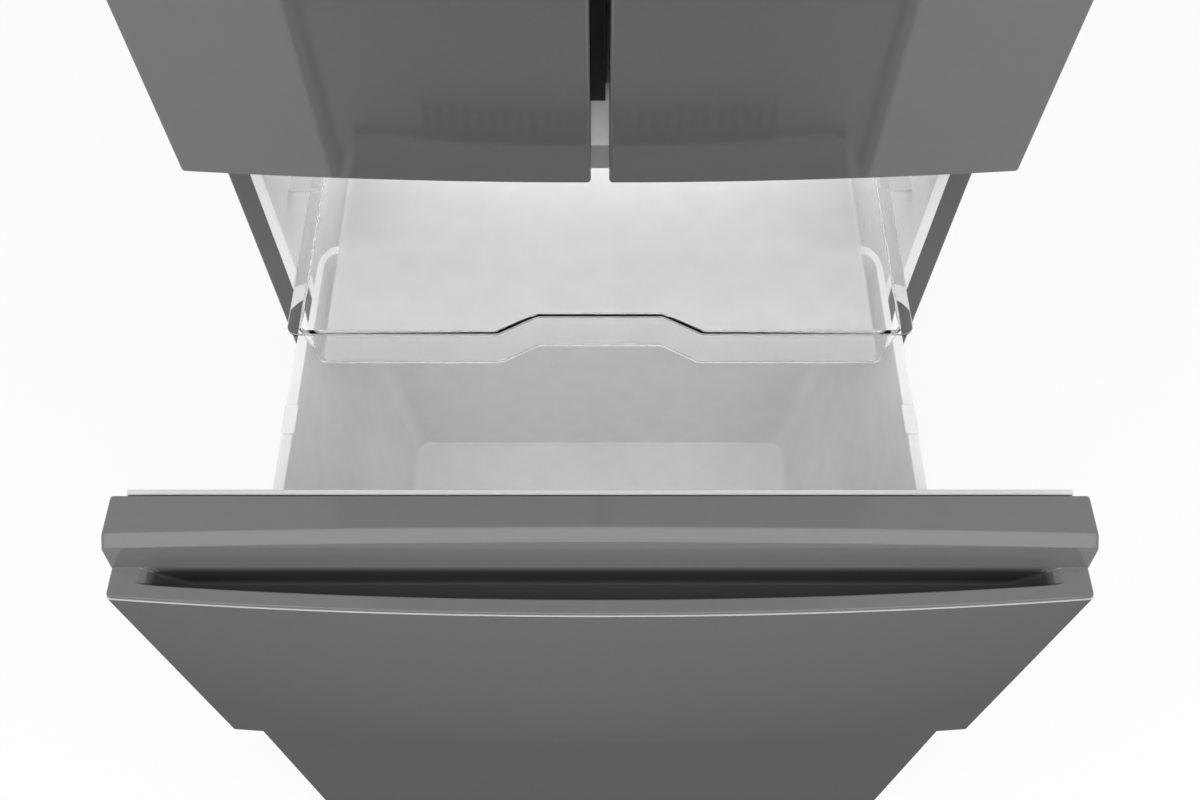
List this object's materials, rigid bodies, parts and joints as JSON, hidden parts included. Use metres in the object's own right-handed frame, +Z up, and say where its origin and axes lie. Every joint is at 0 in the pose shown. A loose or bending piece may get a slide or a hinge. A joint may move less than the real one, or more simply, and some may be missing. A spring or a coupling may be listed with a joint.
{
  "type": "bottom freezer refrigerator",
  "caption": "Refrigerator with hinged upper doors and a pull-out freezer drawer with a basket, clear slide-out tray and bowed glossy grey fronts.",
  "frame": {"origin": "on the floor, under the middle of the whole object with its drawer pulled out", "axes": "+Z up, the doors and the drawer front face -Y, +X to the right seen from the front"},
  "size_m": [0.7, 1.049, 1.865],
  "materials": {
    "cabinet_steel": "satin grey paint",
    "back_steel": "galvanised sheet",
    "door_steel": "glossy grey",
    "handle_plastic": "glossy grey",
    "black_plastic": "satin black",
    "grey_rubber": "soft matt",
    "white_liner": "smooth white",
    "white_plastic": "smooth white",
    "clear_plastic": "clear",
    "frosted_plastic": "milky translucent",
    "shelf_glass": "clear",
    "foam": "rigid foam",
    "zinc_steel": "zinc plated",
    "aluminium": "bare",
    "black_enamel": "black enamel"
  },
  "bodies": {
    "cabinet": {"side_panel_left": "cabinet_steel", "side_panel_right": "cabinet_steel", "top_panel": "cabinet_steel", "back_panel": "back_steel", "base_frame": "back_steel", "insulation": "foam", "fridge_liner": "white_liner", "freezer_liner": "white_liner", "front_rail": "cabinet_steel", "divider_cover": "white_plastic", "upper_hinge_left": "zinc_steel", "upper_hinge_right": "zinc_steel", "hinge_cover_left": "black_plastic", "hinge_cover_right": "black_plastic", "middle_hinge_left": "zinc_steel", "middle_hinge_right": "zinc_steel", "glass_shelves": "shelf_glass", "air_duct": "white_plastic", "lamp_cover": "frosted_plastic", "control_panel": "white_plastic", "evaporator_cover": "white_plastic", "evaporator": "aluminium", "compressor": "black_enamel", "condenser": "black_enamel", "machine_cover": "back_steel", "power_inlet": "black_plastic", "slide_rail_left": "zinc_steel", "slide_rail_right": "zinc_steel"},
    "door_left": {"door_skin_left": "door_steel", "door_inner_left": "white_liner", "door_gasket_left": "grey_rubber", "door_grip_left": "black_plastic", "door_bins_left": "clear_plastic"},
    "door_right": {"door_skin_right": "door_steel", "door_inner_right": "white_liner", "door_gasket_right": "grey_rubber", "door_grip_right": "black_plastic", "door_bins_right": "clear_plastic"},
    "flap": {"mullion_flap": "black_plastic"},
    "drawer": {"drawer_handle": "handle_plastic", "drawer_skin": "door_steel", "drawer_lower_panel": "door_steel", "drawer_inner": "white_liner", "drawer_gasket": "grey_rubber", "freezer_basket": "frosted_plastic", "basket_carrier_left": "white_plastic", "basket_carrier_right": "white_plastic", "slide_inner_left": "zinc_steel", "slide_inner_right": "zinc_steel"},
    "tray": {"freezer_tray": "clear_plastic"},
    "slide_members": {"slide_mid_left": "zinc_steel", "slide_mid_right": "zinc_steel"},
    "crisper_left": {"crisper_left": "clear_plastic"},
    "crisper_right": {"crisper_right": "clear_plastic"},
    "button": {"control_button": "white_plastic"},
    "fan": {"freezer_fan": "black_plastic"},
    "foot_left": {"foot_left": "black_plastic"},
    "foot_right": {"foot_right": "black_plastic"},
    "roller_left": {"roller_left": "black_plastic"},
    "roller_right": {"roller_right": "black_plastic"}
  },
  "joints": [
    {"name": "door_left_swing", "type": "hinge", "parent": "cabinet", "child": "door_left", "pos_m": [-0.338, -0.1145, 1.31], "axis": [0, 0, -1], "range_deg": [0, 120]},
    {"name": "door_right_swing", "type": "hinge", "parent": "cabinet", "child": "door_right", "pos_m": [0.338, -0.1145, 1.31], "axis": [0, 0, 1], "range_deg": [0, 120]},
    {"name": "flap_fold", "type": "hinge", "parent": "door_left", "child": "flap", "pos_m": [-0.014, -0.0775, 1.31], "axis": [0, 0, 1], "range_deg": [0, 90]},
    {"name": "drawer_slide", "type": "slide", "parent": "cabinet", "child": "drawer", "axis": [0, -1, 0], "range_m": [-0.361, 0]},
    {"name": "slide_members_slide", "type": "slide", "parent": "cabinet", "child": "slide_members", "axis": [0, -1, 0], "range_m": [-0.1805, 0]},
    {"name": "tray_slide", "type": "slide", "parent": "cabinet", "child": "tray", "axis": [0, -1, 0], "range_m": [-0.176, 0]},
    {"name": "crisper_left_slide", "type": "slide", "parent": "cabinet", "child": "crisper_left", "axis": [0, -1, 0], "range_m": [0, 0.07]},
    {"name": "crisper_right_slide", "type": "slide", "parent": "cabinet", "child": "crisper_right", "axis": [0, -1, 0], "range_m": [0, 0.07]},
    {"name": "control_button_press", "type": "slide", "parent": "cabinet", "child": "button", "axis": [0, 1, 0], "range_m": [0, 0.0015], "stiffness_N_per_m": 300},
    {"name": "fan_spin", "type": "hinge", "parent": "cabinet", "child": "fan", "pos_m": [0, 0.4235, 0.69], "axis": [0, 1, 0], "continuous": true},
    {"name": "foot_left_turn", "type": "hinge", "parent": "cabinet", "child": "foot_left", "pos_m": [-0.3, -0.0255, 0.02], "axis": [0, 0, 1], "continuous": true},
    {"name": "roller_left_roll", "type": "hinge", "parent": "cabinet", "child": "roller_left", "pos_m": [-0.29, 0.4845, 0.018], "axis": [1, 0, 0], "continuous": true},
    {"name": "foot_right_turn", "type": "hinge", "parent": "cabinet", "child": "foot_right", "pos_m": [0.3, -0.0255, 0.02], "axis": [0, 0, 1], "continuous": true},
    {"name": "roller_right_roll", "type": "hinge", "parent": "cabinet", "child": "roller_right", "pos_m": [0.29, 0.4845, 0.018], "axis": [1, 0, 0], "continuous": true}
  ],
  "couplings": [
    {"joint": "flap_fold", "follows": "door_left_swing", "ratio": 0.75},
    {"joint": "slide_members_slide", "follows": "drawer_slide", "ratio": 0.5},
    {"joint": "tray_slide", "follows": "drawer_slide", "ratio": 0.48752}
  ]
}
